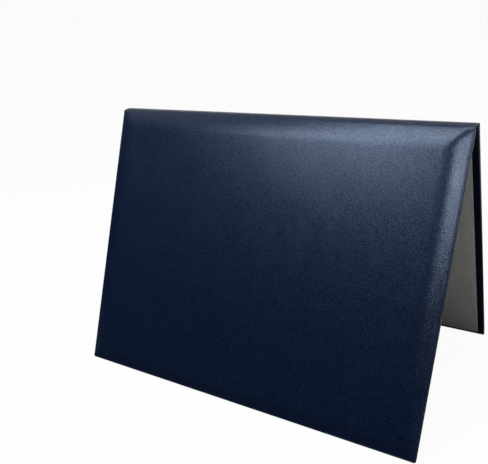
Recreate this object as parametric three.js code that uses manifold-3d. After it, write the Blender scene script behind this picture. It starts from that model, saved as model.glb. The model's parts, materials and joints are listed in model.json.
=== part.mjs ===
// Padded diploma cover, standing open on a table like a tent.
// The padded front cover and the plain back cover are board wrapped in dark blue leatherette. A soft
// spine joins them with a crease on each side. Both are lined in white, and the front cover's lining
// has four corner pockets that hold a certificate.
//
// Units are millimetres, +Z is up and +X runs along the spine. The padded cover faces -Y. The origin
// is on the table, at the middle of the footprint.
//
// Each cover is modelled lying flat in its own frame: x runs along the spine, y from the crease to the
// free edge, and z from the outer leatherette inwards to the lining.
import * as THREE from "three";
import { mergeVertices } from "three/addons/utils/BufferGeometryUtils.js";
import Module from "manifold-3d";

const wasm = await Module();
wasm.setup();

// Overall form
const coverWidth = 298.5;
const coverHeight = 227;
const tentHalfAngle = 23.3; // degrees from upright to each cover
const closedClearance = 0.67; // left between the pockets and the back lining when shut

// Sheet and board thicknesses
const leatherette = 0.45;
const board = 2;
const linerCard = 0.6;
const liningSheet = 0.25;
const pocketLeatherette = 0.4;
const glueLine = 0.12; // between any two pieces that are stuck together
const certificateSlot = 0.35; // between the lining and the underside of a pocket

// The padded face
const padHeight = 3.2;
const padShoulder = 20; // how far in from the edge the padding reaches its full height
const padSteepness = 2.2;
const padCornerGrowth = 0.55; // how fast the corners of the padding open out
const hingeLand = 2.2; // flat leatherette between the crease and the padding
const foamStart = 4.5; // how far in from the edge the foam begins

// Edges, turn-ins and borders
const cornerRadius = 2.5;
const edgeRound = 1;
const turnIn = 15; // leatherette folded over the inside of the board
const hingeStripReach = 18; // how far the inner hinge strip runs over each board
const liningBorder = 4; // leatherette left showing along the lining's free edge
const sideBorder = 5; // the same, at its two ends
const hingeBorder = 6; // the same, from the crease
const liningCorner = 0.8;
const mitreSlit = 0.25; // where two turn-ins meet at a corner
const mitreStart = 2; // how far in from the edges the slit starts

// Corner pockets
const pocketLeg = 46;
const pocketFlap = 12; // folded under the liner card

// Creases
const creaseGap = 0.1; // from the crease line to the mitred edge of each sheet
const creaseRoom = 0.23; // left over the spine for the edge of a shut cover
const stripEndGap = 0.3; // from the hinge strip's ends to the turn-ins beside them
const spineCrown = 0.6; // how far the spine bows out between its creases

// Facets
const cornerSteps = 6;
const edgeSteps = 3;
const padSteps = 9;
const crownSteps = 10;

// Layers of a cover, from its outer face inwards
const boardOuter = leatherette + glueLine;
const boardInner = boardOuter + board;
const turnInOuter = boardInner + glueLine;
const turnInInner = turnInOuter + leatherette;
const pocketFlapOuter = turnInInner + glueLine;
const pocketFlapInner = pocketFlapOuter + pocketLeatherette;

function liningLayers(cardOuter) {
  const cardInner = cardOuter + linerCard;
  const sheetOuter = cardInner + glueLine;
  const sheetInner = sheetOuter + liningSheet;
  return { cardOuter, cardInner, sheetOuter, sheetInner };
}

const frontLayers = liningLayers(pocketFlapInner + glueLine);
const backLayers = liningLayers(turnInInner + glueLine);
const pocketOuter = frontLayers.sheetInner + certificateSlot;
const pocketInner = pocketOuter + pocketLeatherette;

// The spine is as wide as the shut cover is thick
const spineWidth = pocketInner + backLayers.sheetInner + closedClearance;
const stripOuter = leatherette + glueLine;
const stripInner = stripOuter + leatherette;
const hingeWallNear = stripInner + creaseRoom;
const hingeWallFar = hingeWallNear + leatherette;
const boardStart = hingeWallFar + glueLine;

// Lengths that only have to reach past the piece they cut
const overcut = 5;
const openEnd = 8;

function material(color, roughness) {
  return new THREE.MeshStandardMaterial({ color, roughness, metalness: 0 });
}

const leatheretteFinish = material(0x15233f, 0.42);
const pocketFinish = material(0x1b2a4a, 0.5);
const boardFinish = material(0x9c9284, 0.95);
const foamFinish = material(0xe9e6dc, 1);
const cardFinish = material(0xe4e2dc, 0.9);
const liningFinish = material(0xf6f6f3, 0.7);

// A geometry as a solid that can be joined and cut
function solid(geometry) {
  const bare = new THREE.BufferGeometry();
  const source = geometry.index ? geometry.toNonIndexed() : geometry;
  bare.setAttribute("position", source.getAttribute("position"));
  const merged = mergeVertices(bare, 1e-5);
  const corners = [];
  for (let i = 0; i < merged.index.count; i += 3) {
    const [a, b, c] = [0, 1, 2].map((k) => merged.index.getX(i + k));
    if (a !== b && b !== c && a !== c) corners.push(a, b, c);
  }
  return new wasm.Manifold(
    new wasm.Mesh({
      numProp: 3,
      vertProperties: merged.attributes.position.array,
      triVerts: new Uint32Array(corners),
    }),
  );
}

function geometryOf(manifold) {
  const mesh = manifold.getMesh();
  const geometry = new THREE.BufferGeometry();
  geometry.setAttribute("position", new THREE.BufferAttribute(mesh.vertProperties, 3));
  geometry.setIndex(new THREE.BufferAttribute(mesh.triVerts, 1));
  const faceted = geometry.toNonIndexed();
  faceted.computeVertexNormals();
  return faceted;
}

function piece(name, shape, finish) {
  const geometry = shape.isBufferGeometry ? shape : geometryOf(shape);
  const mesh = new THREE.Mesh(geometry, finish);
  mesh.name = name;
  return mesh;
}

// A box between two corners
function block([x0, y0, z0], [x1, y1, z1]) {
  const size = [x1 - x0, y1 - y0, z1 - z0].map(Math.abs);
  const box = new THREE.BoxGeometry(...size);
  return box.translate((x0 + x1) / 2, (y0 + y1) / 2, (z0 + z1) / 2);
}

// Outline of a cover-shaped rectangle, anticlockwise, with round corners
function roundedOutline({ halfWidth, low, high, radius }) {
  const centres = [
    [halfWidth - radius, high - radius, 0],
    [-halfWidth + radius, high - radius, Math.PI / 2],
    [-halfWidth + radius, low + radius, Math.PI],
    [halfWidth - radius, low + radius, 1.5 * Math.PI],
  ];
  return centres.flatMap(([x, y, start]) =>
    Array.from({ length: cornerSteps + 1 }, (_, i) => {
      const angle = start + (i / cornerSteps) * (Math.PI / 2);
      return [x + radius * Math.cos(angle), y + radius * Math.sin(angle)];
    }),
  );
}

// A closed form through a stack of outlines with equal point counts, given from inside to outside
function loft(rings) {
  const loops = rings.map((ring) => roundedOutline(ring).map(([x, y]) => [x, y, ring.depth]));
  const count = loops[0].length;
  const positions = [];
  const triangle = (a, b, c) => positions.push(...a, ...b, ...c);
  for (let k = 0; k + 1 < loops.length; k++) {
    const [inner, outer] = [loops[k], loops[k + 1]];
    for (let i = 0; i < count; i++) {
      const j = (i + 1) % count;
      triangle(inner[i], outer[i], outer[j]);
      triangle(inner[i], outer[j], inner[j]);
    }
  }
  const [first, last] = [loops[0], loops[loops.length - 1]];
  for (let i = 1; i + 1 < count; i++) {
    triangle(first[0], first[i], first[i + 1]);
    triangle(last[0], last[i + 1], last[i]);
  }
  const geometry = new THREE.BufferGeometry();
  geometry.setAttribute("position", new THREE.Float32BufferAttribute(positions, 3));
  return geometry;
}

// One outline of a cover, set in from its three free edges and starting at hingeLow from the crease
function coverRing(inset, depth, hingeLow, radius) {
  return { halfWidth: coverWidth / 2 - inset, low: hingeLow, high: coverHeight - inset, radius, depth };
}

// How far the padded face stands out at a distance in from the edge
function padRise(inset, height) {
  const reach = Math.min((inset - edgeRound) / (padShoulder - edgeRound), 1);
  return height * (1 - (1 - reach) ** padSteepness);
}

// Outlines of the padded face, from the edge to the flat middle, sunk by some depth
function padRings(height, sunk, startInset = edgeRound) {
  return Array.from({ length: padSteps + 1 }, (_, i) => {
    const inset = startInset + (padShoulder - startInset) * (i / padSteps) ** 1.6;
    const radius = cornerRadius - edgeRound + padCornerGrowth * (inset - edgeRound);
    return coverRing(inset, sunk - padRise(inset, height), hingeLand + inset - edgeRound, radius);
  });
}

// What lies nearer the crease than its 45 degree mitre, so that a cover can shut square to the spine
function mitreCut() {
  const profile = new THREE.Shape([
    new THREE.Vector2(creaseGap - overcut, -overcut),
    new THREE.Vector2(creaseGap + overcut, overcut),
    new THREE.Vector2(-2 * overcut, overcut),
    new THREE.Vector2(-2 * overcut, -overcut),
  ]);
  return solid(alongSpine(profile, coverWidth + 2 * overcut));
}

// A profile drawn in a cover's y and z, run along the spine
function alongSpine(profile, length) {
  const geometry = new THREE.ExtrudeGeometry(profile, { depth: length, bevelEnabled: false });
  const turn = new THREE.Matrix4().makeBasis(
    new THREE.Vector3(0, 1, 0),
    new THREE.Vector3(0, 0, 1),
    new THREE.Vector3(1, 0, 0),
  );
  return geometry.translate(0, 0, -length / 2).applyMatrix4(turn);
}

// The leatherette of one cover: the outer face, the rounded edges and the turn-ins on three sides
function makeWrap(height) {
  const arc = Array.from({ length: edgeSteps + 1 }, (_, i) => (i / edgeSteps) * (Math.PI / 2));
  const edgeRing = (inset, depth) => coverRing(inset, depth, -openEnd, cornerRadius - inset);
  const innerArris = arc.map((a) =>
    edgeRing(edgeRound * (1 - Math.sin(a)), turnInInner - edgeRound * (1 - Math.cos(a))),
  );
  const outerArris = arc.map((a) =>
    edgeRing(edgeRound * (1 - Math.cos(a)), edgeRound * (1 - Math.sin(a))),
  );
  const face = height > 0 ? padRings(height, 0) : [];
  const outside = solid(loft([...innerArris, ...outerArris, ...face]));

  const hollowRing = (depth) =>
    coverRing(leatherette, depth, -openEnd - overcut, cornerRadius - leatherette);
  const hollowFace = height > 0 ? padRings(height, leatherette) : [];
  const hollow = solid(loft([hollowRing(turnInOuter), hollowRing(leatherette), ...hollowFace]));

  const windowHalf = coverWidth / 2 - turnIn;
  const window = solid(
    block(
      [-windowHalf, -openEnd - overcut, boardInner],
      [windowHalf, coverHeight - turnIn, turnInInner + overcut],
    ),
  );
  const slits = [-1, 1].map((side) => solid(cornerSlit(side)));
  return [hollow, window, mitreCut(), ...slits].reduce((wrap, cut) => wrap.subtract(cut), outside);
}

// The open joint between two turn-ins, along the diagonal of a free corner
function cornerSlit(side) {
  const start = Math.SQRT2 * mitreStart;
  const end = Math.SQRT2 * turnIn + overcut;
  const slit = block([start, -mitreSlit / 2, boardInner], [end, mitreSlit / 2, turnInInner + overcut]);
  const diagonal = side > 0 ? -0.75 * Math.PI : -0.25 * Math.PI;
  return slit.rotateZ(diagonal).translate((side * coverWidth) / 2, coverHeight, 0);
}

function makeBoard() {
  const half = coverWidth / 2 - boardOuter;
  const high = coverHeight - boardOuter;
  const radius = cornerRadius - boardOuter;
  const ring = (depth) => ({ halfWidth: half, low: boardStart, high, radius, depth });
  return solid(loft([ring(boardInner), ring(boardOuter)]));
}

// Foam that fills the padded face, thinnest at its edge
function makeFoam() {
  const rings = padRings(padHeight, leatherette + glueLine, foamStart);
  const base = { ...rings[0], depth: leatherette };
  return solid(loft([base, ...rings]));
}

// The part of the inner hinge strip that lies on a cover: a foot by the crease, a wall down the
// board's edge and a flap under the lining
function makeCoverStrip() {
  const profile = new THREE.Shape([
    new THREE.Vector2(stripOuter + creaseGap, stripOuter),
    new THREE.Vector2(hingeWallFar, stripOuter),
    new THREE.Vector2(hingeWallFar, turnInOuter),
    new THREE.Vector2(hingeStripReach, turnInOuter),
    new THREE.Vector2(hingeStripReach, turnInInner),
    new THREE.Vector2(hingeWallNear, turnInInner),
    new THREE.Vector2(hingeWallNear, stripInner),
    new THREE.Vector2(stripInner + creaseGap, stripInner),
  ]);
  return solid(alongSpine(profile, stripLength()));
}

function stripLength() {
  return coverWidth - 2 * (turnIn + stripEndGap);
}

// Outline of the lining, set in by some amount
function liningRing(inset, depth) {
  return {
    halfWidth: coverWidth / 2 - sideBorder - inset,
    low: hingeBorder + inset,
    high: coverHeight - liningBorder - inset,
    radius: liningCorner - inset,
    depth,
  };
}

function makeLinerCard(layers) {
  const inset = liningSheet + glueLine;
  return solid(loft([liningRing(inset, layers.cardInner), liningRing(inset, layers.cardOuter)]));
}

// The white sheet over the liner card, folded down round its edges
function makeLining(layers) {
  const tray = solid(loft([liningRing(0, layers.sheetInner), liningRing(0, layers.cardOuter)]));
  const inside = solid(
    loft([
      liningRing(liningSheet, layers.sheetOuter),
      liningRing(liningSheet, layers.cardOuter - overcut),
    ]),
  );
  return tray.subtract(inside);
}

// A corner pocket: a triangle over the corner of the lining, with two walls round the card's edges
// and flaps folded under it. side is -1 or 1 along the spine, and end is -1 at the crease or 1 at
// the free edge.
function makePocket(side, end) {
  const wall = glueLine + pocketLeatherette;
  const x = side * (coverWidth / 2 - sideBorder + wall);
  const y = end < 0 ? hingeBorder - wall : coverHeight - liningBorder + wall;
  const leg = pocketLeg + wall;
  const at = (across, down) => [x - side * across, y - end * down];
  const corners = [at(0, 0), at(leg, 0), at(0, leg)];
  const outline = new THREE.Shape(corners.map(([px, py]) => new THREE.Vector2(px, py)));
  const depth = pocketInner - pocketFlapOuter;
  const triangle = new THREE.ExtrudeGeometry(outline, { depth, bevelEnabled: false });
  const whole = solid(triangle.translate(0, 0, pocketFlapOuter));

  const far = leg + overcut;
  const slot = block(
    [...at(pocketLeatherette, pocketLeatherette), pocketFlapInner],
    [...at(far, far), pocketOuter],
  );
  const underside = block(
    [...at(pocketFlap, pocketFlap), pocketFlapOuter - overcut],
    [...at(far, far), (pocketFlapInner + pocketOuter) / 2],
  );
  return whole.subtract(solid(slot)).subtract(solid(underside));
}

// The spine's own frame has x along the spine, y from crease to crease and z inwards
function trimToSpine(shape) {
  const cut = mitreCut();
  const low = cut.translate([0, -spineWidth / 2, 0]);
  const high = cut.rotate([0, 0, 180]).translate([0, spineWidth / 2, 0]);
  return shape.subtract(low).subtract(high);
}

// Bows a strip out between its creases, and leaves it where it was along them
function crowned(geometry) {
  const place = geometry.getAttribute("position");
  for (let i = 0; i < place.count; i++) {
    const across = (2 * place.getY(i)) / spineWidth;
    place.setZ(i, place.getZ(i) - spineCrown * (1 - across ** 2));
  }
  return geometry;
}

// The spine's leatherette, folded over and stuck down at its two ends
function makeSpineWrap() {
  const end = coverWidth / 2;
  const foldEnd = end - turnIn;
  const round = stripInner / 2;
  const profile = new THREE.Shape();
  profile.moveTo(-end + round, 0);
  profile.lineTo(end - round, 0);
  profile.absarc(end - round, round, round, -Math.PI / 2, Math.PI / 2, false);
  profile.lineTo(foldEnd, stripInner);
  profile.lineTo(foldEnd, leatherette);
  profile.lineTo(-foldEnd, leatherette);
  profile.lineTo(-foldEnd, stripInner);
  profile.lineTo(-end + round, stripInner);
  profile.absarc(-end + round, round, round, Math.PI / 2, 1.5 * Math.PI, false);
  const settings = {
    depth: spineWidth,
    steps: crownSteps,
    bevelEnabled: false,
    curveSegments: cornerSteps,
  };
  const strip = new THREE.ExtrudeGeometry(profile, settings);
  strip.rotateX(Math.PI / 2).translate(0, spineWidth / 2, 0);
  return trimToSpine(solid(crowned(strip)));
}

function makeSpineStrip() {
  const strip = new THREE.BoxGeometry(stripLength(), spineWidth, leatherette, 1, crownSteps, 1);
  strip.translate(0, 0, (stripOuter + stripInner) / 2);
  return trimToSpine(solid(crowned(strip)));
}

const frontCover = new THREE.Group();
frontCover.add(
  piece("front_wrap", makeWrap(padHeight), leatheretteFinish),
  piece("front_board", makeBoard(), boardFinish),
  piece("front_foam_pad", makeFoam(), foamFinish),
  piece("front_hinge_strip", makeCoverStrip(), leatheretteFinish),
  piece("front_liner_card", makeLinerCard(frontLayers), cardFinish),
  piece("front_lining", makeLining(frontLayers), liningFinish),
  piece("pocket_spine_left", makePocket(-1, -1), pocketFinish),
  piece("pocket_spine_right", makePocket(1, -1), pocketFinish),
  piece("pocket_edge_left", makePocket(-1, 1), pocketFinish),
  piece("pocket_edge_right", makePocket(1, 1), pocketFinish),
);

const backCover = new THREE.Group();
backCover.add(
  piece("back_wrap", makeWrap(0), leatheretteFinish),
  piece("back_board", makeBoard(), boardFinish),
  piece("back_hinge_strip", makeCoverStrip(), leatheretteFinish),
  piece("back_liner_card", makeLinerCard(backLayers), cardFinish),
  piece("back_lining", makeLining(backLayers), liningFinish),
);

const spine = new THREE.Group();
spine.add(
  piece("spine_wrap", makeSpineWrap(), leatheretteFinish),
  piece("spine_hinge_strip", makeSpineStrip(), leatheretteFinish),
);
spine.rotation.x = Math.PI;

// Each cover hangs from its crease, leaning out by the tent's half angle
const lean = THREE.MathUtils.degToRad(90 + tentHalfAngle);
for (const cover of [frontCover, backCover]) {
  cover.position.y = -spineWidth / 2;
  cover.rotation.x = -lean;
}
const backHalf = new THREE.Group();
backHalf.add(backCover);
backHalf.rotation.z = Math.PI;

// Stand the tent on the table with its footprint centred
const tent = new THREE.Group();
tent.add(frontCover, spine, backHalf);
const footprint = new THREE.Box3().setFromObject(tent, true);
tent.position.set(0, -(footprint.min.y + footprint.max.y) / 2, -footprint.min.z);

const diplomaCover = new THREE.Group();
diplomaCover.add(tent);
export default diplomaCover;
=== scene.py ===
# A padded diploma cover in dark blue leatherette, standing open on a table like a tent.
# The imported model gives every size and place. This script dresses it and lights it.
import json
import math

import bpy
import numpy as np
from mathutils import Matrix, Quaternion, Vector


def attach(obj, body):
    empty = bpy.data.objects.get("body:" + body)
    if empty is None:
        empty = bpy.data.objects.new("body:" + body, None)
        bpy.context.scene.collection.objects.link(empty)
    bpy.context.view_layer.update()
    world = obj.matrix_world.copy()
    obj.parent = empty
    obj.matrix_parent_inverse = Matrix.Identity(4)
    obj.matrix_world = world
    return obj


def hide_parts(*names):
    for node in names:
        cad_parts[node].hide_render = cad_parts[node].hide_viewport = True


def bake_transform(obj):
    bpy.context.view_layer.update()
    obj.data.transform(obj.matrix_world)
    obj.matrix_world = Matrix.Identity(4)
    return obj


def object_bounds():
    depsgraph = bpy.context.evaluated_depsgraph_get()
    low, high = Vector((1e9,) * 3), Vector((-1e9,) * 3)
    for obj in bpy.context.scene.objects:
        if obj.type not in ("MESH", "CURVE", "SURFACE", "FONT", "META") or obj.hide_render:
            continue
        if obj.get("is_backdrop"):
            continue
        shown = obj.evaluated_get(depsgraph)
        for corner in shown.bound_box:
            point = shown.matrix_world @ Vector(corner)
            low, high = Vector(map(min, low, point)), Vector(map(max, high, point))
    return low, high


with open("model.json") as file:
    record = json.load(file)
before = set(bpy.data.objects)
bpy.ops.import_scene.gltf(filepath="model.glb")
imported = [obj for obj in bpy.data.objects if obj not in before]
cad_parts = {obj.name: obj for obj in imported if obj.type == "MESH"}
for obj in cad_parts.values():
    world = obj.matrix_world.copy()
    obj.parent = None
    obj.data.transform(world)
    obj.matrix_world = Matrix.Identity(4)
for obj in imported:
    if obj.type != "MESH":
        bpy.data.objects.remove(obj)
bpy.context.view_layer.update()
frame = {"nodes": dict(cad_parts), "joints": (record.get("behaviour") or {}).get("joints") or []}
nodes = frame["nodes"]
joints = {joint["name"]: joint for joint in frame["joints"]}
millimetre = 0.001
leanAngle = math.radians(joints["front_hinge"]["range_deg"][1])  # from upright to each cover


# a cover's own axes, in millimetres
def coverFrame(jointName, side):
    return {
        "side": side,
        "crease": np.array(joints[jointName]["pos_m"]) / millimetre,
        "toCrease": np.array([0.0, side, 0.0]),  # along the spine's width
        "spineInward": np.array([0.0, 0.0, -1.0]),
        "down": np.array([0.0, side * math.sin(leanAngle), -math.cos(leanAngle)]),
        "inward": np.array([0.0, -side * math.cos(leanAngle), -math.sin(leanAngle)]),
    }


# points given across, down from the crease and inward
def onCover(cover, x, y, z):
    along = x[:, None] * np.array([1.0, 0, 0]) + y[:, None] * cover["down"]
    return cover["crease"] + along + z[:, None] * cover["inward"]


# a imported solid's lowest and highest corners along those axes: across, down from the crease, inward
def localBox(cover, nodeName):
    corners = np.array([v.co for v in nodes[nodeName].data.vertices]) / millimetre - cover["crease"]
    local = np.stack([corners[:, 0], corners @ cover["down"], corners @ cover["inward"]], axis=1)
    return local.min(axis=0), local.max(axis=0)


front = coverFrame("front_hinge", -1.0)
back = coverFrame("back_hinge", 1.0)
spineWidth = 2 * abs(front["crease"][1])
farDown = 50  # mm from the crease: pockets beyond it are at the free edge


def smoothStep(value, low, high):
    t = np.clip((value - low) / (high - low), 0, 1)
    return t * t * (3 - 2 * t)


# places from low to high, close together at both ends
def spread(low, high, fine, coarse, growth=1.3):
    steps, size, reach = [], fine, 0.0
    while reach + size < (high - low) / 2 and size < coarse:
        reach += size
        steps.append(reach)
        size *= growth
    count = max(2, int((high - low - 2 * reach) / coarse) + 1)
    middle = np.linspace(low + reach, high - reach, count)
    ends = np.array([0.0] + steps[:-1])
    return np.concatenate([low + ends, middle, (high - ends)[::-1]])


# the bend at a crease: its angle, half its length and how far it starts before the crease
def creaseBend(bendRadius):
    turn = math.pi / 2 - leanAngle
    return turn, bendRadius * turn / 2, bendRadius * math.tan(turn / 2)


# where the outer sheet runs: distance is counted from the crease, negative on the spine
def alongSheet(cover, distance, bendRadius):
    turn, halfArc, tangent = creaseBend(bendRadius)
    angle = np.clip((distance + halfArc) / bendRadius, 0, turn)[:, None]
    start = cover["crease"] - tangent * cover["toCrease"]
    place = start + bendRadius * (
        np.sin(angle) * cover["toCrease"] + (1 - np.cos(angle)) * cover["spineInward"]
    )
    place = place + np.minimum(distance + halfArc, 0)[:, None] * cover["toCrease"]
    place = place + np.maximum(distance - halfArc, 0)[:, None] * cover["down"]
    inward = np.cos(angle) * cover["spineInward"] - np.sin(angle) * cover["toCrease"]
    along = np.cos(angle) * cover["toCrease"] + np.sin(angle) * cover["spineInward"]
    return place, inward, along


# the same distance measured on the flat faces that meet at the crease
def flatPlace(distance, bendRadius):
    _, halfArc, tangent = creaseBend(bendRadius)
    inBend = distance * tangent / halfArc
    beyond = np.sign(distance) * (tangent + np.abs(distance) - halfArc)
    return np.where(np.abs(distance) < halfArc, inBend, beyond)


# the distance along the sheet of a place beyond the bend
def sheetPlace(flat, bendRadius):
    _, halfArc, tangent = creaseBend(bendRadius)
    return math.copysign(abs(flat) - tangent + halfArc, flat)


# vertices are in millimetres, and sheetPlaces is where each lies on the unbent sheet
def addPiece(name, vertices, faces, sheetPlaces, material):
    mesh = bpy.data.meshes.new(name)
    mesh.from_pydata((np.asarray(vertices) * millimetre).tolist(), [], faces)
    mesh.update()
    attribute = mesh.attributes.new("sheetPlace", "FLOAT_VECTOR", "POINT")
    attribute.data.foreach_set("vector", np.asarray(sheetPlaces, np.float32).ravel())
    mesh.shade_smooth()
    mesh.materials.append(material)
    piece = bpy.data.objects.new(name, mesh)
    bpy.context.scene.collection.objects.link(piece)
    return piece


# a sheet's thickness, inwards from its visible face
def thicken(piece, thickness):
    solidify = piece.modifiers.new("thickness", "SOLIDIFY")
    solidify.thickness = thickness * millimetre
    solidify.offset = -1
    solidify.use_even_offset = False
    return piece


# the faces of a grid of points, counted row by row
def gridFaces(rows, columns, flipped=False):
    faces = []
    for j in range(rows - 1):
        for i in range(columns - 1):
            a = j * columns + i
            b, c, d = a + 1, a + columns + 1, a + columns
            faces.append((a, d, c, b) if flipped else (a, b, c, d))
    return faces


# the free edges of such a grid, in order: down one side, along the far end and up the other side
def freeEdge(rows, columns):
    left = [(j, 0) for j in range(rows)]
    bottom = [(rows - 1, i) for i in range(1, columns - 1)]
    right = [(j, columns - 1) for j in reversed(range(rows))]
    return np.array(left + bottom + right).T


# the faces between one ring of points and the next
def ringFaces(last, ring, flipped, closed=False):
    faces = []
    for k in range(len(ring) if closed else len(ring) - 1):
        n = (k + 1) % len(ring)
        quad = (int(last[k]), int(ring[k]), int(ring[n]), int(last[n]))
        faces.append(quad if flipped else tuple(reversed(quad)))
    return faces


# rounds the far corner of a square block: across and down both run from 0 to its side
def roundCorner(across, down, radius, block):
    a, b = across / block, down / block
    ring = np.maximum(a, b)
    bend = np.maximum(radius / block * ring ** 2, 1e-9)
    other = np.minimum(a, b)
    inArc = other > ring - bend
    angle = np.where(inArc, (other - ring + bend) / bend, 0) * math.pi / 4
    longer = np.where(inArc, ring - bend + bend * np.cos(angle), ring)
    shorter = np.where(inArc, ring - bend + bend * np.sin(angle), other)
    active = (a > 0) & (b > 0)
    newAcross = np.where(active, np.where(a >= b, longer, shorter), a) * block
    newDown = np.where(active, np.where(a >= b, shorter, longer), b) * block
    facing = np.where(active, angle, 0)
    turn = np.where(a >= b, facing, math.pi / 2 - facing)
    return newAcross, newDown, turn


# the leatherette's pebbled grain
leatherLook = {
    "colour": (0.0022, 0.0072, 0.0245),
    "grainTop": (0.0060, 0.0148, 0.0425),
    # the reflection is weaker in the furrows: painted shade for the light they trap
    "gloss": (0.32, 0.57),  # in the furrows and on the pebbles
    "specularTint": (0.60, 0.74, 1.0),
    "roughness": 0.23,
    "roughnessSpread": 0.03,
    "pebble": 1.45,  # mm across
    "wander": 1.4,  # how slowly the furrows stray, in pebbles, and how far
    "wanderDepth": 0.8,
    "furrow": 0.30,
    "pebbleDepth": 0.022,
    "fineGrain": 0.32,
    "fineDepth": 0.014,
    "mottle": 9.0,
}
# the corner pockets', a little duller
pocketLook = dict(leatherLook, colour=(0.0035, 0.009, 0.027), grainTop=(0.005, 0.012, 0.034))


def startMaterial(name, colour, roughness):
    material = bpy.data.materials.new(name)
    material.use_nodes = True
    shader = material.node_tree.nodes["Principled BSDF"]
    shader.inputs["Base Color"].default_value = (*colour, 1)
    shader.inputs["Roughness"].default_value = roughness
    return material, material.node_tree, shader


def addNode(tree, kind, inputs=None, **settings):
    node = tree.nodes.new(kind)
    for key, value in settings.items():
        setattr(node, key, value)
    for key, value in (inputs or {}).items():
        if isinstance(value, bpy.types.NodeSocket):
            tree.links.new(value, node.inputs[key])
        else:
            node.inputs[key].default_value = value
    return node


# a vector counted in steps of one size
def scaled(tree, vector, size):
    node = addNode(tree, "ShaderNodeVectorMath", {0: vector}, operation="SCALE")
    node.inputs["Scale"].default_value = 1 / size
    return node.outputs["Vector"]


def mixColour(tree, factor, first, second):
    node = addNode(tree, "ShaderNodeMix", data_type="RGBA")
    tree.links.new(factor, node.inputs["Factor"])
    node.inputs[6].default_value = (*first, 1)
    node.inputs[7].default_value = (*second, 1)
    return node.outputs[2]


def remap(tree, value, low, high, newLow, newHigh):
    inputs = {"Value": value, "From Min": low, "From Max": high, "To Min": newLow, "To Max": newHigh}
    return addNode(tree, "ShaderNodeMapRange", inputs).outputs["Result"]


def noise(tree, vector, detail, **others):
    inputs = {"Vector": vector, "Scale": 1.0, "Detail": detail, **others}
    return addNode(tree, "ShaderNodeTexNoise", inputs)


def bump(tree, height, depth, strength=1.0):
    inputs = {"Height": height, "Distance": depth * millimetre, "Strength": strength}
    return addNode(tree, "ShaderNodeBump", inputs)


def leatherMaterial(name, look):
    material, tree, shader = startMaterial(name, look["colour"], look["roughness"])
    shader.inputs["Specular Tint"].default_value = (*look["specularTint"], 1)
    place = addNode(tree, "ShaderNodeAttribute", attribute_name="sheetPlace").outputs["Vector"]
    wander = noise(tree, scaled(tree, place, look["pebble"] * look["wander"]), 2.0)
    offset = addNode(
        tree, "ShaderNodeVectorMath",
        {0: wander.outputs["Color"], 1: (look["wanderDepth"],) * 3}, operation="MULTIPLY",
    )
    bent = addNode(
        tree, "ShaderNodeVectorMath",
        {0: scaled(tree, place, look["pebble"]), 1: offset.outputs["Vector"]}, operation="ADD",
    )
    pebble = addNode(
        tree, "ShaderNodeTexVoronoi", {"Vector": bent.outputs["Vector"], "Scale": 1.0},
        feature="DISTANCE_TO_EDGE",
    )
    fine = noise(tree, scaled(tree, place, look["fineGrain"]), 3.0)
    mottle = noise(tree, scaled(tree, place, look["mottle"]), 4.0)
    height = addNode(
        tree, "ShaderNodeMapRange",
        {"Value": pebble.outputs["Distance"], "From Min": 0.0, "From Max": look["furrow"]},
        interpolation_type="SMOOTHSTEP",
    ).outputs["Result"]
    colour = mixColour(tree, height, look["colour"], look["grainTop"])
    tree.links.new(colour, shader.inputs["Base Color"])
    # weaker reflection in the furrows: painted shade for the light they trap
    gloss = remap(tree, height, 0.0, 1.0, *look["gloss"])
    tree.links.new(gloss, shader.inputs["Specular IOR Level"])
    middle, sway = look["roughness"], look["roughnessSpread"]
    roughness = remap(tree, mottle.outputs["Fac"], 0.25, 0.75, middle - sway, middle + sway)
    tree.links.new(roughness, shader.inputs["Roughness"])
    fineBump = bump(tree, fine.outputs["Fac"], look["fineDepth"])
    pebbleBump = bump(tree, height, look["pebbleDepth"])
    tree.links.new(fineBump.outputs["Normal"], pebbleBump.inputs["Normal"])
    tree.links.new(pebbleBump.outputs["Normal"], shader.inputs["Normal"])
    return material


# the linings' ribbed white cloth, with faint long streaks
liningLook = {
    "colour": (0.84, 0.84, 0.81),
    "shade": (0.76, 0.76, 0.74),
    "roughness": 0.72,
    "roughnessSpread": (0.12, 0.1),  # how much smoother and how much rougher it gets
    "specular": 0.2,
    "sheen": 0.1,
    "streakLength": 26.0,
    "streakWidth": 3.4,
    "streakSway": 1.1,
    "streakSpan": (0.35, 0.65),  # the part of the noise that makes them
    "rib": 0.42,
    "ribSway": 0.6,
    "ribDepth": 0.02,
}


def liningMaterial():
    look = liningLook
    material, tree, shader = startMaterial("whiteLining", look["colour"], look["roughness"])
    place = addNode(tree, "ShaderNodeAttribute", attribute_name="sheetPlace").outputs["Vector"]
    streakScale = (1 / look["streakWidth"], 1 / look["streakLength"], 1)
    streaked = addNode(tree, "ShaderNodeVectorMath", {0: place, 1: streakScale}, operation="MULTIPLY")
    streaks = noise(tree, streaked.outputs["Vector"], 3.0, Distortion=look["streakSway"])
    ribbed = {"Vector": scaled(tree, place, look["rib"]), "Scale": 0.32}
    ribbed.update({"Distortion": look["ribSway"], "Detail": 1.0})
    wave = addNode(tree, "ShaderNodeTexWave", ribbed, bands_direction="Y")
    tone = remap(tree, streaks.outputs["Fac"], *look["streakSpan"], 0.0, 1.0)
    tree.links.new(mixColour(tree, tone, look["shade"], look["colour"]), shader.inputs["Base Color"])
    middle, (smoother, rougher) = look["roughness"], look["roughnessSpread"]
    roughness = remap(tree, tone, 0.0, 1.0, middle - smoother, middle + rougher)
    tree.links.new(roughness, shader.inputs["Roughness"])
    ribs = bump(tree, wave.outputs["Fac"], look["ribDepth"])
    tree.links.new(ribs.outputs["Normal"], shader.inputs["Normal"])
    shader.inputs["Sheen Weight"].default_value = look["sheen"]
    shader.inputs["Specular IOR Level"].default_value = look["specular"]
    return material


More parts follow.
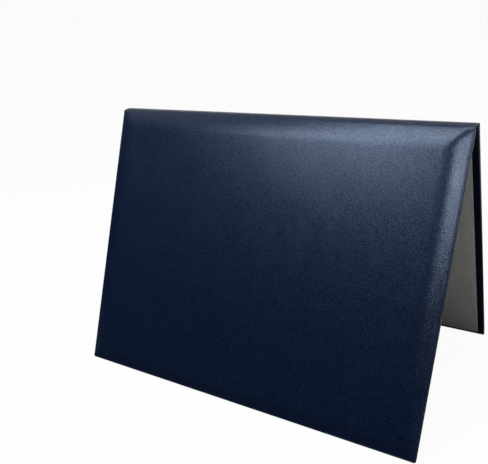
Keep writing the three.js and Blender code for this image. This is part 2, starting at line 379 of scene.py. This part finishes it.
# greyboard, foam and card: fibres or cells that only a cut would show
innerLooks = {
    "board": {"first": (0.36, 0.31, 0.25), "second": (0.24, 0.21, 0.17), "size": 1.6, "depth": 0.08},
    "foam": {"first": (0.80, 0.77, 0.66), "second": (0.62, 0.59, 0.49), "size": 0.7, "depth": 0.2},
    "card": {"first": (0.78, 0.76, 0.70), "second": (0.68, 0.66, 0.60), "size": 1.1, "depth": 0.03},
}


def innerMaterial(name):
    look = innerLooks[name]
    material, tree, shader = startMaterial(name + "Finish", look["first"], 0.9)
    place = addNode(tree, "ShaderNodeTexCoord").outputs["Object"]
    grain = noise(tree, scaled(tree, place, look["size"] * millimetre), 5.0)
    colour = mixColour(tree, grain.outputs["Fac"], look["first"], look["second"])
    tree.links.new(colour, shader.inputs["Base Color"])
    fibres = bump(tree, grain.outputs["Fac"], look["depth"], 0.6)
    tree.links.new(fibres.outputs["Normal"], shader.inputs["Normal"])
    return material


# the outer leatherette of a cover, with its half of the crease and its turned-in edges
wrapShape = {
    "bendRadius": 1.3,
    "thickness": 0.4,
    "seamFromBackCrease": 1.2,  # where the two outer sheets meet, hidden in the back crease
    "edgeRound": 1.1,
    "cornerRadius": 1.3,
    "cornerBlock": 6.0,  # the square at a corner that is rounded
    "cornerBand": 25.0,  # how far from a corner the turned-in edges begin to draw together
    "turnIn": 15.0,
    "spineThickness": 1.02,  # it becomes the cover's over this distance from the crease
    "thickens": (0.9, 1.7),
    "creaseDepth": 0.25,
    "creaseWidth": 0.8,
    "spineCrown": 0.35,
    "mitreDepth": 0.22,
    "mesh": (0.16, 2.0),  # mm between its points, at its edges and in the middle
}
padShape = {
    "rim": 0.3,  # flat leatherette round the padding
    "hingeRim": 0.5,
    "seamAt": 0.3,  # the groove that runs round the padding
    "seamDepth": 0.16,
    "seamWidth": 0.3,
    "seamStart": (1.5, 4.0),  # it fades in over this distance from the crease
    "rimSoftness": 0.7,
    # width of the shoulder and the share of it over which its slope comes in
    "shoulder": (17.0, 0.8),
    "hingeShoulder": (17.0, 0.85),
    "cornerSharpness": 3.6,
    "wave": 0.05,
    "crown": 0.35,
}


# how far the spine stands out, with its crown and its two creases
def spineLift(fromCrease):
    across = (fromCrease - spineWidth / 2) / (spineWidth / 2)
    crown = wrapShape["spineCrown"] * (1 - np.minimum(across ** 2, 1))
    width = wrapShape["creaseWidth"]
    creases = np.exp(-((fromCrease / width) ** 2))
    creases = creases + np.exp(-(((spineWidth - fromCrease) / width) ** 2))
    return crown - wrapShape["creaseDepth"] * creases


# smooth hills between about -1 and 1
def gentleWaves(x, y, seed, lengths=(95.0, 52.0, 31.0)):
    random = np.random.default_rng(seed)
    total = np.zeros_like(x)
    for length in lengths:
        for _ in range(3):
            angle, phase = random.uniform(0, 2 * math.pi, 2)
            run = x * math.cos(angle) + y * math.sin(angle)
            total += np.sin(run * 2 * math.pi / length + phase) / len(lengths) / 3 * 1.6
    return total


# how far the padded face stands out
def padLift(x, y, halfWidth, height, padHeight):
    shape = padShape
    fromSides = halfWidth - np.abs(x)
    fromFree = height - y
    rim = shape["rim"] + wrapShape["edgeRound"]
    fromCrease = y - shape["hingeRim"] + rim
    total = 0
    for distance, (width, easing) in (
        (fromSides, shape["shoulder"]),
        (fromFree, shape["shoulder"]),
        (fromCrease, shape["hingeShoulder"]),
    ):
        short = 1 - np.clip((distance - rim) / width, 0, 1)
        eased = np.minimum(short / easing, 1)
        fall = easing * (eased ** 3 - eased ** 4 / 2) + np.maximum(short - easing, 0)
        total = total + (fall / (1 - easing / 2)) ** shape["cornerSharpness"]
    rise = 1 - np.minimum(total, 1) ** (1 / shape["cornerSharpness"])
    nearest = np.minimum(np.minimum(fromSides, fromFree), fromCrease) - rim
    soften = 1 - np.exp(-np.maximum(nearest, 0) / shape["rimSoftness"])
    fromSeam = np.minimum(fromSides, fromFree) - wrapShape["edgeRound"] - shape["seamAt"]
    groove = shape["seamDepth"] * np.exp(-((fromSeam / shape["seamWidth"]) ** 2))
    waves = shape["wave"] * gentleWaves(x, y, 4)
    crown = shape["crown"] * np.cos(x / halfWidth * math.pi / 2)
    crown = crown * np.cos((y / height - 0.5) * math.pi)
    return rise * soften * (padHeight + waves + crown) - groove * smoothStep(y, *shape["seamStart"])


# the way round a board's edge and in under it, in steps:
# how far out or in, how deep, and how far along the sheet
def edgeSteps(edge, thickness):
    steps = []
    for angle in np.linspace(0, math.pi / 2, 6)[1:]:
        steps.append(("round", edge * np.sin(angle), edge * (1 - np.cos(angle)), angle * edge))
    for part in (0.33, 0.66, 1.0):
        straight = (thickness - 2 * edge) * part
        steps.append(("round", edge, edge + straight, edge * math.pi / 2 + straight))
    for angle in np.linspace(0, math.pi / 2, 5)[1:]:
        depth = thickness - edge + edge * np.sin(angle)
        run = edge * (math.pi / 2 + angle) + thickness - 2 * edge
        steps.append(("round", edge * np.cos(angle), depth, run))
    for inset in (0.4, 0.9, 1.6, 2.6, 4.0, 6.0, 9.0, wrapShape["turnIn"] - wrapShape["edgeRound"]):
        run = edge * math.pi + thickness - 2 * edge + inset
        steps.append(("flat", inset, thickness, run))
    return steps


def outerSheet(name, cover, nodeName, startFlat, padded, material):
    shape = wrapShape
    low, high = localBox(cover, nodeName)
    halfWidth, height, coverThickness = high
    radius, edge = shape["bendRadius"], shape["edgeRound"]
    fine, coarse = shape["mesh"]
    start = sheetPlace(startFlat, radius)
    end = sheetPlace(height - edge, radius)
    onSpine = np.array([start])  # rows on the spine, then close ones through the bend
    if start < -1.6:
        onSpine = np.linspace(start, -0.8, max(3, int((-0.8 - start) / 0.5)))
    distance = np.concatenate([onSpine, np.linspace(-0.76, 0.76, 9), spread(1.0, end, fine, coarse)])
    flat = flatPlace(distance, radius)
    place, inward, along = alongSheet(cover, distance, radius)
    onCoverShare = smoothStep(flat, *shape["thickens"])
    thickness = shape["spineThickness"] + (coverThickness - shape["spineThickness"]) * onCoverShare
    edgeRow = np.minimum(edge, thickness / 2)
    share = spread(-1.0, 1.0, fine / halfWidth, coarse / halfWidth)
    rows, columns = len(distance), len(share)
    x = share[None, :] * (halfWidth - edgeRow)[:, None]
    y = np.repeat(flat[:, None], columns, axis=1)

    # the corners, then how far each point stands out
    block = shape["cornerBlock"]
    across = np.clip(np.abs(x) - (halfWidth - edge - block), 0, block)
    down = np.clip(y - (height - edge - block), 0, block)
    newAcross, newDown, turn = roundCorner(across, down, shape["cornerRadius"] - edge, block)
    x = x + np.sign(x) * (newAcross - across)
    shift = newDown - down
    y = y + shift
    liftCover = -shape["creaseDepth"] * np.exp(-((np.maximum(y, 0) / shape["creaseWidth"]) ** 2))
    if padded:
        liftCover = liftCover + padLift(x, y, halfWidth, height, -low[2])
    lift = np.where(y < 0, spineLift(np.maximum(-y, 0)), liftCover)
    points = place[:, None, :] + shift[:, :, None] * along[:, None, :]
    points = points - lift[:, :, None] * inward[:, None, :]
    points[:, :, 0] += x
    sheetY = np.where(y > 0, y, distance[:, None])
    sheetPlaces = np.stack([x, sheetY, np.full_like(x, cover["side"] * 40)], axis=2)
    vertices = [points.reshape(-1, 3)]
    places = [sheetPlaces.reshape(-1, 3)]
    flipped = cover["side"] < 0
    faces = gridFaces(rows, columns, flipped=flipped)

    # round the three free edges and in under the board, with mitred corners
    j, i = freeEdge(rows, columns)
    onSide = (i == 0) | (i == columns - 1)
    angle = np.where(onSide, turn[j, i], np.where(turn[j, i] > 0, turn[j, i], math.pi / 2))
    sign = np.sign(x[j, i])
    outX, outY = np.cos(angle) * sign, np.sin(angle)
    band = shape["cornerBand"]
    rampY = np.clip((y[j, i] - (height - band)) / (band - edge), 0, 1)
    rampX = np.clip((np.abs(x[j, i]) - (halfWidth - band)) / (band - edge), 0, 1)
    rampX = np.where(onSide, 1.0, rampX)
    rampY = np.where(onSide, rampY, 1.0)
    cornerX, cornerY = np.abs(x[j, i]) - (halfWidth - edge), y[j, i] - (height - edge)
    diagonal = np.abs(cornerX - cornerY) < 0.05  # the mitre's line
    base = points[j, i] + lift[j, i][:, None] * inward[j]
    last, first = j * columns + i, rows * columns
    for kind, out, depth, run in edgeSteps(edgeRow[j], thickness[j]):
        if kind == "round":
            moveX, moveY = outX * out, outY * out
        else:
            moveX, moveY = -sign * out * rampX, -out * rampY
            depth = depth - shape["mitreDepth"] * diagonal * (out > 1.0)
        ring = base + moveY[:, None] * along[j] + (depth - lift[j, i])[:, None] * inward[j]
        ring[:, 0] += moveX
        vertices.append(ring)
        unrolled = sheetPlaces[j, i].copy()
        unrolled[:, 0] += outX * run
        unrolled[:, 1] += outY * run
        places.append(unrolled)
        index = first + np.arange(len(j))
        faces += ringFaces(last, index, flipped)
        last, first = index, first + len(j)
    piece = addPiece(name, np.concatenate(vertices), faces, np.concatenate(places), material)
    return thicken(piece, shape["thickness"])


# the leatherette inside the spine, from under one lining over the board's edge
gutterShape = {
    "columns": 120,
    "thickness": 0.35,
    "foot": 1.02,  # how deep it lies in the spine, and where it ends there
    "spineEnd": -1.3,
    "step": 0.6,
    "wall": 1.25,  # how far from the crease it climbs the board's edge
}


def innerStrip(name, cover, nodeName, startFlat, material):
    shape = gutterShape
    _, (halfWidth, reach, top) = localBox(cover, nodeName)
    foot, wall, end = shape["foot"], shape["wall"], shape["spineEnd"]
    path = []  # along the spine, up the board's edge, over its corner and on under the lining
    for flat in np.linspace(startFlat, end, max(2, int((end - startFlat) / shape["step"]) + 1)):
        depth = foot - float(spineLift(np.array(-flat)))
        path.append(cover["crease"] + flat * cover["toCrease"] + depth * cover["spineInward"])
    climb = [(0.75, foot), (wall, foot + 0.25), (wall, top - 0.8), (wall + 0.15, top - 0.2)]
    for y, z in climb + [(y, top) for y in (wall + 0.8, 3.0, 5.0, 8.0, 12.0, reach)]:
        path.append(cover["crease"] + y * cover["down"] + z * cover["inward"])
    path = np.array(path)
    for _ in range(2):  # round the path's corners
        cut = np.empty((2 * (len(path) - 1), 3))
        cut[0::2] = 0.75 * path[:-1] + 0.25 * path[1:]
        cut[1::2] = 0.25 * path[:-1] + 0.75 * path[1:]
        path = np.concatenate([path[:1], cut, path[-1:]])
    length = np.concatenate([[0], np.cumsum(np.linalg.norm(np.diff(path, axis=0), axis=1))])
    x = np.linspace(-halfWidth, halfWidth, shape["columns"])
    points = np.repeat(path[:, None, :], len(x), axis=1)
    points[:, :, 0] += x
    places = np.stack(np.broadcast_arrays(x, length[:, None], 90.0 + cover["side"]), axis=2)
    faces = gridFaces(len(path), len(x), flipped=cover["side"] > 0)
    piece = addPiece(name, points.reshape(-1, 3), faces, places.reshape(-1, 3), material)
    return thicken(piece, shape["thickness"])


# the white linings
liningShape = {
    "cornerRadius": 1.0,
    "cornerBlock": 5.0,
    "thickness": 0.2,
    "wave": 0.05,
    "edgeDrop": (0.28, 3.5),  # how far its edges roll down, and over what width
    "mesh": (0.3, 2.5),
}


# how far a rolled edge has dropped at some distance from it
def edgeDrop(shape, distance):
    drop, width = shape["edgeDrop"]
    return drop * (1 - np.clip(distance / width, 0, 1)) ** 2


def liningSheet(name, cover, nodeName, skirtDepth, pockets, material):
    shape = liningShape
    (_, yLow, _), (halfWidth, yHigh, top) = localBox(cover, nodeName)
    x, y = np.meshgrid(
        spread(-halfWidth, halfWidth, *shape["mesh"]), spread(yLow, yHigh, *shape["mesh"])
    )
    rows, columns = x.shape
    block = shape["cornerBlock"]
    middle = (yLow + yHigh) / 2
    across = np.clip(np.abs(x) - (halfWidth - block), 0, block)
    down = np.clip(np.abs(y - middle) - ((yHigh - yLow) / 2 - block), 0, block)
    newAcross, newDown, _ = roundCorner(across, down, shape["cornerRadius"], block)
    x = x + np.sign(x) * (newAcross - across)
    y = y + np.sign(y - middle) * (newDown - down)
    drop = np.maximum(
        edgeDrop(shape, halfWidth - np.abs(x)), edgeDrop(shape, np.minimum(y - yLow, yHigh - y))
    )
    z = top - drop - shape["wave"] * (1 + gentleWaves(x, y, 9 + int(cover["side"]))) / 2
    faces = gridFaces(rows, columns, flipped=cover["side"] > 0)
    allX, allY, allZ = [x.ravel()], [y.ravel()], [z.ravel()]

    # its edge runs down beside the card, and behind a pocket only as far as the pocket's flap
    grid = np.arange(rows * columns).reshape(rows, columns)
    loop = np.concatenate([grid[0, :-1], grid[:-1, -1], grid[-1, :0:-1], grid[:0:-1, 0]])
    loopX, loopY, loopZ = x.ravel()[loop], y.ravel()[loop], z.ravel()[loop]
    skirt = np.full(len(loop), skirtDepth)
    for pocketX, pocketY, away, bottom in pockets:
        inside = (loopX * np.sign(pocketX) > abs(pocketX)) & ((loopY - pocketY) * away > 0)
        skirt = np.where(inside, bottom, skirt)
    last, first = loop, rows * columns
    for part in (0.15, 0.5, 1.0):
        allX.append(loopX)
        allY.append(loopY)
        allZ.append(loopZ + (skirt - loopZ) * part)
        index = first + np.arange(len(loop))
        faces += ringFaces(last, index, cover["side"] < 0, closed=True)
        last, first = index, first + len(loop)
    allX, allY, allZ = (np.concatenate(values) for values in (allX, allY, allZ))
    places = np.stack([allX, allY, np.full_like(allX, 7.0 * cover["side"])], axis=1)
    piece = addPiece(name, onCover(cover, allX, allY, allZ), faces, places, material)
    return thicken(piece, shape["thickness"])


# the corner pockets
pocketShape = {
    "thickness": 0.33,
    "edgeRound": 0.7,
    "edgeDrop": (0.5, 4.5),
    "flap": 12.0,
    "bow": 0.2,  # how far the free side lifts off in the middle
    "bowReach": 9.0,
    "rollDepth": 0.2,
    "rollWidth": 0.5,
    "hem": 5.0,
    "hemDepth": 0.07,
}


def cornerPocket(name, cover, nodeName, material):
    shape = pocketShape
    low, high = localBox(cover, nodeName)
    side = math.copysign(1, low[0] + high[0])
    end = 1.0 if low[1] > farDown else -1.0  # by the free edge or by the crease
    outerX = high[0] if side > 0 else low[0]
    outerY = high[1] if end > 0 else low[1]
    leg, top, bottom = high[0] - low[0], high[2], low[2]
    fold = shape["edgeRound"]
    foldStart = top - shape["edgeDrop"][0] - fold

    # strands run side by side from the long free side to the corner, each from flap to flap.
    # They are close together at the free side's rolled edge and at its hem
    nearFree = np.array([0, 0.12, 0.25, 0.4, 0.6, 0.9, 1.4, 2.2, 3.2, 4.2, 4.8, 5.1, 5.4, 6.0, 7.0])
    away = np.concatenate([nearFree, np.arange(8.2, leg / math.sqrt(2) - 0.9, 1.25)])
    strands = np.concatenate([leg - away * math.sqrt(2), [0.9, 0.4]])
    topShare = spread(0.0, 1.0, 0.012, 0.03)
    grid = []
    for length in strands:
        away = (leg - length) / math.sqrt(2)
        flap = min(shape["flap"], length)
        row = [(flap * part, length, bottom) for part in (1.0, 0.66, 0.33, 0.06)]
        row += [(0.0, length, z) for z in np.linspace(bottom, foldStart, 4)]
        for step in np.linspace(0, math.pi / 2, 5)[1:]:
            inset = min(fold * (1 - math.cos(step)), length / 2)
            row.append((inset, length, foldStart + fold * math.sin(step)))
        foldedIn = len(row)
        edgeIn = min(fold, length / 2)
        for share in topShare[1:-1]:
            p = edgeIn + (length - 2 * edgeIn) * share
            q = length - p
            drop = max(float(edgeDrop(shape, p - fold)), float(edgeDrop(shape, q - fold)))
            roll = shape["rollDepth"] * max(0.0, 1 - away / shape["rollWidth"]) ** 2
            bow = shape["bow"] * math.sin(math.pi * share) ** 2
            bow = bow * math.exp(-away / shape["bowReach"])
            hemStep = smoothStep(np.array(away), shape["hem"] - 0.5, shape["hem"] + 0.3)
            row.append((p, q, top - drop - roll + bow - shape["hemDepth"] * float(hemStep)))
        grid.append(row + [(q, p, z) for p, q, z in reversed(row[:foldedIn])])
    grid = np.array(grid)
    rows, columns = grid.shape[:2]
    p, q, z = grid.reshape(-1, 3).T
    points = onCover(cover, outerX - side * p, outerY - end * q, z)
    run = np.concatenate([[0], np.cumsum(np.linalg.norm(np.diff(grid[0], axis=0), axis=1))])
    places = np.stack(np.broadcast_arrays(
        (run - run[-1] / 2)[None, :] * (strands / leg)[:, None], (leg - strands)[:, None],
        150 + side * 7 + end * 3,
    ), axis=2)
    faces = gridFaces(rows, columns, flipped=side * end * cover["side"] < 0)
    piece = addPiece(name, points, faces, places.reshape(-1, 3), material)
    return thicken(piece, shape["thickness"])


# build it
navy = leatherMaterial("navyLeatherette", leatherLook)
pocketNavy = leatherMaterial("pocketLeatherette", pocketLook)
white = liningMaterial()
print("materials made")

backStart = -wrapShape["seamFromBackCrease"]
frontStart = -(spineWidth + backStart)
frontOuter = outerSheet("front_cover_leather", front, "front_wrap", frontStart, True, navy)
backOuter = outerSheet("back_cover_leather", back, "back_wrap", backStart, False, navy)
frontInner = innerStrip("front_gutter_leather", front, "front_hinge_strip", frontStart, navy)
backInner = innerStrip("back_gutter_leather", back, "back_hinge_strip", backStart, navy)
print("leatherette made")

pocketNames = ["pocket_spine_left", "pocket_spine_right", "pocket_edge_left", "pocket_edge_right"]
pocketGaps = []  # where the lining's edge stops short
for pocketName in pocketNames:
    low, high = localBox(front, pocketName)
    reachX = high[0] if high[0] < 0 else low[0]
    reachY, away = (low[1], 1) if low[1] > farDown else (high[1], -1)
    pocketGaps.append((reachX, reachY, away, low[2] + 0.5))
skirtDepth = localBox(front, "front_wrap")[1][2] + 0.02
frontLining = liningSheet("front_lining_cloth", front, "front_lining", skirtDepth, pocketGaps, white)
backLining = liningSheet("back_lining_cloth", back, "back_lining", skirtDepth, [], white)
print("linings made")

pocketPieces = [cornerPocket(name + "_leather", front, name, pocketNavy) for name in pocketNames]
print("pockets made")

# what moves with what: the linings and pockets go with their covers, while the leatherette pieces
# stay where they are built
for piece, cover, body in (
    (frontOuter, front, "front_cover"),
    (frontInner, front, "front_cover"),
    (backOuter, back, "back_cover"),
    (backInner, back, "back_cover"),
):
    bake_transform(piece)
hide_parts("front_wrap", "spine_wrap")
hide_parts("back_wrap")
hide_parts("front_hinge_strip", "spine_hinge_strip")
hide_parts("back_hinge_strip")
for piece, body, node, card in (
    (frontLining, "front_cover", "front_lining", "front_liner_card"),
    (backLining, "back_cover", "back_lining", "back_liner_card"),
):
    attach(piece, body)
    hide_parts(node)
for piece, node in zip(pocketPieces, pocketNames):
    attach(piece, "front_cover")
    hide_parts(node)
for nodeName, finish in (
    ("front_board", "board"), ("back_board", "board"), ("front_foam_pad", "foam"),
    ("front_liner_card", "card"), ("back_liner_card", "card"),
):
    nodes[nodeName].data.materials.clear()
    nodes[nodeName].data.materials.append(innerMaterial(finish))

# the studio
studio = {
    "floorColour": (0.38, 0.38, 0.38),
    "floorSize": 60.0,
    "floorPaint": (0.95, 0.95, 0.95),  # as the camera and gloss see it
    "floorWhite": 0.955,  # how much of its white doesn't come from the lamps
    "roomLight": (0.11, 0.11, 0.11),
    "backdrop": (0.957, 0.957, 0.957),
    "boxes": [
        # name, place, aimed at, width, height, radiance, degrees it is turned about its aim
        ("keyBox", (-0.218, -0.611, 0.947), (0.05, -0.02, 0.16), 0.41, 0.80, 8.9, -5),
        ("sideStrip", (0.511, -0.820, 0.650), (0.14, -0.05, 0.12), 0.30, 0.29, 11.5, 0),
        ("rearBox", (0.22, 0.66, 0.97), (0.0, 0.05, 0.12), 0.45, 0.50, 5.0, 0),
    ],
    # black cloth round the set, outside the picture, that only gloss mirrors: it paints dark
    # reflections on the leatherette, and its faint glow paints dim reflected light
    "cloth": {
        "radius": 1.3,
        # degrees round from the front, towards the left; lowest and highest point in metres
        "hem": [
            (-180, 0.42, 1.10), (-120, 0.42, 1.10), (-110, 0.42, 0.43), (-39, 0.42, 0.43),
            (-38, 0.001, 0.72), (28, 0.001, 0.72), (42, 0.001, 1.2), (112, 0.001, 1.2),
            (125, 0.42, 1.10), (180, 0.42, 1.10),
        ],
        # between these two turns it lies on over the floor, as far as this edge
        "onFloor": (-38, 112),
        "nearEdge": [(-0.66, 0.20), (-0.165, -0.098), (0.15, -0.098)],
        # x from, y from, x to, y to, strength: on the floor under the tent and behind it, seen only
        # in gloss: painted shade in the reflections under the tent and painted dim light behind it
        "paintedReflectionPatches": [(-0.165, -0.098, 0.45, 0.093, 0.02), (-1.2, 0.10, 0.3, 1.2, 0.10)],
        # its glow, rear glow and tone are painted reflected light, seen only in gloss
        "glow": (0.30, 0.80, 0.38),  # from this height to this one it lightens to this strength
        "rearFrom": 120,  # degrees round, from where it has one strength all over
        "rearGlow": 0.18,
        "tone": (0.78, 0.86, 1.0),
    },
}


# 1 for the rays that see the background: the camera's, and those in gloss and glass
def backgroundMask(tree):
    light = addNode(tree, "ShaderNodeLightPath")
    inGloss, inGlass = light.outputs["Is Glossy Ray"], light.outputs["Is Transmission Ray"]
    mirrored = addNode(tree, "ShaderNodeMath", {0: inGloss, 1: inGlass}, operation="MAXIMUM")
    inputs = {0: light.outputs["Is Camera Ray"], 1: mirrored.outputs[0]}
    return addNode(tree, "ShaderNodeMath", inputs, operation="MAXIMUM").outputs[0]


def makeFloor():
    bpy.ops.mesh.primitive_plane_add(size=studio["floorSize"], location=(0, 0, 0))
    floor = bpy.context.object
    floor.name = "floor"
    material, tree, shader = startMaterial("floorFinish", studio["floorColour"], 0.9)
    shader.inputs["Specular IOR Level"].default_value = 0.0
    paint = mixColour(tree, backgroundMask(tree), studio["floorColour"], studio["floorPaint"])
    tree.links.new(paint, shader.inputs["Base Color"])
    glow = addNode(tree, "ShaderNodeEmission", {"Color": (1, 1, 1, 1), "Strength": 1.0})
    seen = addNode(
        tree, "ShaderNodeMath",
        {0: backgroundMask(tree), 1: studio["floorWhite"]}, operation="MULTIPLY",
    )
    mix = addNode(tree, "ShaderNodeMixShader", {0: seen.outputs[0]})
    tree.links.new(shader.outputs["BSDF"], mix.inputs[1])
    tree.links.new(glow.outputs["Emission"], mix.inputs[2])
    tree.links.new(mix.outputs["Shader"], tree.nodes["Material Output"].inputs["Surface"])
    floor.data.materials.append(material)
    floor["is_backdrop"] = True


def makeRoom():
    world = bpy.data.worlds.new("studioWorld")
    bpy.context.scene.world = world
    world.use_nodes = True
    tree = world.node_tree
    colour = mixColour(tree, backgroundMask(tree), studio["roomLight"], studio["backdrop"])
    tree.links.new(colour, tree.nodes["Background"].inputs["Color"])


def makeCloth():
    cloth = studio["cloth"]
    turns, lows, highs = zip(*cloth["hem"])
    angles = np.arange(-180.0, 180.1, 3.0)
    lowest, highest = np.interp(angles, turns, lows), np.interp(angles, turns, highs)
    glowLow, glowHigh, strength = cloth["glow"]
    vertices, glow = [], []
    rows = 7
    for share in np.linspace(0, 1, rows):
        for angle, z in zip(angles, lowest + (highest - lowest) * share):
            turn = math.radians(angle)
            vertices.append((-cloth["radius"] * math.sin(turn), -cloth["radius"] * math.cos(turn), z))
            lightening = strength * np.interp(z, (glowLow, glowHigh), (0, 1))
            glow.append(cloth["rearGlow"] if abs(angle) > cloth["rearFrom"] else lightening)
    faces = gridFaces(rows, len(angles))
    lowFrom, lowTo = cloth["onFloor"]
    onFloor = [k for k in range(len(angles)) if lowFrom <= angles[k] <= lowTo]
    onFloor += range(len(vertices), len(vertices) + len(cloth["nearEdge"]))
    vertices += [(x, y, 0.001) for x, y in cloth["nearEdge"]]
    faces.append(tuple(onFloor))
    glow += [0.0] * (len(vertices) - len(glow))
    # floor patches that only gloss mirrors: painted shade under the tent, painted dim light behind it
    for x0, y0, x1, y1, strength in cloth["paintedReflectionPatches"]:
        faces.append(tuple(range(len(vertices), len(vertices) + 4)))
        vertices += [(x0, y0, 0.001), (x1, y0, 0.001), (x1, y1, 0.001), (x0, y1, 0.001)]
        glow += [strength] * 4
    mesh = bpy.data.meshes.new("blackCloth")
    mesh.from_pydata(vertices, [], faces)
    attribute = mesh.attributes.new("paintedReflectionGlow", "FLOAT", "POINT")
    attribute.data.foreach_set("value", np.array(glow, np.float32))
    # its glow lights nothing and is seen only in gloss: painted reflected light on the leatherette
    material, tree, shader = startMaterial("blackClothFinish", (0.01, 0.01, 0.01), 1.0)
    light = addNode(tree, "ShaderNodeAttribute", attribute_name="paintedReflectionGlow").outputs["Fac"]
    shader.inputs["Emission Color"].default_value = (*cloth["tone"], 1)
    tree.links.new(light, shader.inputs["Emission Strength"])
    mesh.materials.append(material)
    screen = bpy.data.objects.new("blackCloth", mesh)
    screen.visible_camera = screen.visible_diffuse = screen.visible_shadow = False
    bpy.context.scene.collection.objects.link(screen)
    screen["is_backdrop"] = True


def makeLamps():
    for name, place, aim, width, height, radiance, turned in studio["boxes"]:
        data = bpy.data.lights.new(name, "AREA")
        data.shape = "RECTANGLE"
        data.size, data.size_y = width, height
        data.energy = radiance * math.pi * width * height
        lamp = bpy.data.objects.new(name, data)
        lamp.location = place
        aimed = (Vector(aim) - Vector(place)).to_track_quat("-Z", "Y")
        lamp.rotation_euler = (aimed @ Quaternion((0, 0, 1), math.radians(turned))).to_euler()
        lamp.visible_diffuse = name != "sideStrip"  # it is only there to be mirrored
        bpy.context.scene.collection.objects.link(lamp)


view = {
    "place": (0.2473, -0.4435, 0.3205),
    "azimuth": 37.90,
    "elevation": 25.12,
    "roll": -6.32,
    "focalPixels": 648.0,
    "centrePixel": (190.7, 270.8),
    "picture": (488, 464),
}


def makeCamera():
    azimuth, elevation, roll = (math.radians(view[key]) for key in ("azimuth", "elevation", "roll"))
    backward = Vector((
        math.sin(azimuth) * math.cos(elevation),
        -math.cos(azimuth) * math.cos(elevation),
        math.sin(elevation),
    ))
    level = (-backward).cross(Vector((0, 0, 1))).normalized()
    above = level.cross(-backward)
    right = level * math.cos(roll) + above * math.sin(roll)
    up = above * math.cos(roll) - level * math.sin(roll)
    data = bpy.data.cameras.new("camera")
    camera = bpy.data.objects.new("camera", data)
    turned = Matrix((right, up, backward)).transposed().to_4x4()
    camera.matrix_world = Matrix.Translation(view["place"]) @ turned
    width, height = view["picture"]
    data.sensor_width = 36
    data.lens = view["focalPixels"] / width * data.sensor_width
    data.shift_x = (width / 2 - view["centrePixel"][0]) / width
    data.shift_y = (view["centrePixel"][1] - height / 2) / width
    data.clip_start, data.clip_end = 0.01, 100
    bpy.context.scene.collection.objects.link(camera)
    bpy.context.scene.camera = camera


makeFloor()
makeRoom()
makeCloth()
makeLamps()
makeCamera()
bpy.context.scene.view_settings.view_transform = "Standard"
print("studio made")

low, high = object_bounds()
